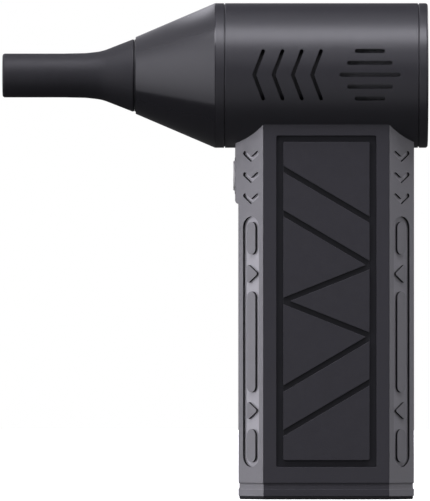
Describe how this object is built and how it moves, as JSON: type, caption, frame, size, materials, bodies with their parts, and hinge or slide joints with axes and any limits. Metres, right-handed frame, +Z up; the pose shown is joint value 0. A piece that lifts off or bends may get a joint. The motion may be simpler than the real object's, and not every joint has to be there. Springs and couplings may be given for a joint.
{
  "type": "electric air mattress pump",
  "caption": "Hand-held cordless air pump: a slotted fan barrel on an eight-sided battery handle, with a pull-off nozzle cone and a tapered tip that fills inflatables.",
  "frame": {"origin": "centre of the base pad's resting face, midway between the handle's sides", "axes": "+Z up the handle, -X the way the nozzle points, -Y the left side of the tool"},
  "size_m": [0.1329, 0.0452, 0.1549],
  "materials": {
    "tip_rubber": "matte, slightly soft",
    "cone_plastic": "satin",
    "barrel_plastic": "fine satin",
    "bezel_plastic": "satin",
    "dark_plastic": "matte",
    "grille_plastic": "satin",
    "mesh_steel": "woven wire",
    "handle_grey": "satin metallic grey",
    "panel_plastic": "matte",
    "grip_rubber": "matte",
    "foot_rubber": "matte",
    "seal_rubber": "matte",
    "button_metal": "satin silver",
    "steel": "plain",
    "core_steel": "stacked sheets",
    "magnet_steel": "plain",
    "copper": "enamelled wire",
    "end_aluminium": "plain",
    "fan_aluminium": "machined",
    "nut_brass": "plain",
    "white_nylon": "plain",
    "board_green": "solder mask",
    "chip_black": "moulded",
    "lens_clear": "clear light pipe",
    "cell_wrap": "shrink sleeve",
    "holder_black": "plain",
    "nickel": "plain strip",
    "wire_red": "silicone wire",
    "wire_black": "silicone wire"
  },
  "bodies": {
    "pump": {"barrel_shell": "barrel_plastic", "rear_bezel": "bezel_plastic", "intake_grille": "grille_plastic", "intake_screen": "mesh_steel", "fan_duct": "dark_plastic", "duct_gaskets": "seal_rubber", "lead_grommet": "seal_rubber", "tail_cone": "dark_plastic", "motor_core": "core_steel", "motor_windings": "copper", "motor_end_front": "end_aluminium", "motor_end_rear": "end_aluminium", "bearing_front": "steel", "bearing_rear": "steel", "handle_left": "handle_grey", "handle_right": "handle_grey", "handle_screws": "steel", "side_panel_left": "panel_plastic", "side_panel_right": "panel_plastic", "grip_pad_left": "grip_rubber", "grip_pad_right": "grip_rubber", "neck_frame": "white_nylon", "neck_screws": "steel", "button_ring": "grille_plastic", "button_switch": "chip_black", "switch_board": "board_green", "control_board": "board_green", "board_parts": "chip_black", "board_screws": "steel", "usb_socket": "steel", "indicator_lens": "lens_clear", "battery_cell_front": "cell_wrap", "battery_cell_rear": "cell_wrap", "battery_holder_top": "holder_black", "battery_holder_bottom": "holder_black", "battery_links": "nickel", "battery_leads": "wire_red", "motor_leads": "wire_red", "switch_leads": "wire_black", "base_cap": "handle_grey", "base_inlay_left": "panel_plastic", "base_inlay_right": "panel_plastic", "base_screws": "steel", "base_pad": "foot_rubber"},
    "rotor": {"motor_shaft": "steel", "rotor_magnet": "magnet_steel", "impeller": "fan_aluminium", "impeller_nut": "nut_brass"},
    "button": {"power_button": "button_metal"},
    "cone": {"nozzle_cone": "cone_plastic", "cone_seal": "seal_rubber", "tip_seal": "seal_rubber"},
    "tip": {"nozzle_tip": "tip_rubber"}
  },
  "joints": [
    {"name": "rotor_spin", "type": "hinge", "parent": "pump", "child": "rotor", "pos_m": [0, 0, 0.1323], "axis": [1, 0, 0], "continuous": true},
    {"name": "button_press", "type": "slide", "parent": "pump", "child": "button", "axis": [1, 0, 0], "range_m": [0, 0.0005], "stiffness_N_per_m": 3000, "springref_m": -0.0003},
    {"name": "cone_pull_off", "type": "slide", "parent": "pump", "child": "cone", "axis": [-1, 0, 0], "range_m": [0, 0.03]},
    {"name": "tip_pull_off", "type": "slide", "parent": "cone", "child": "tip", "axis": [-1, 0, 0], "range_m": [0, 0.02]}
  ]
}
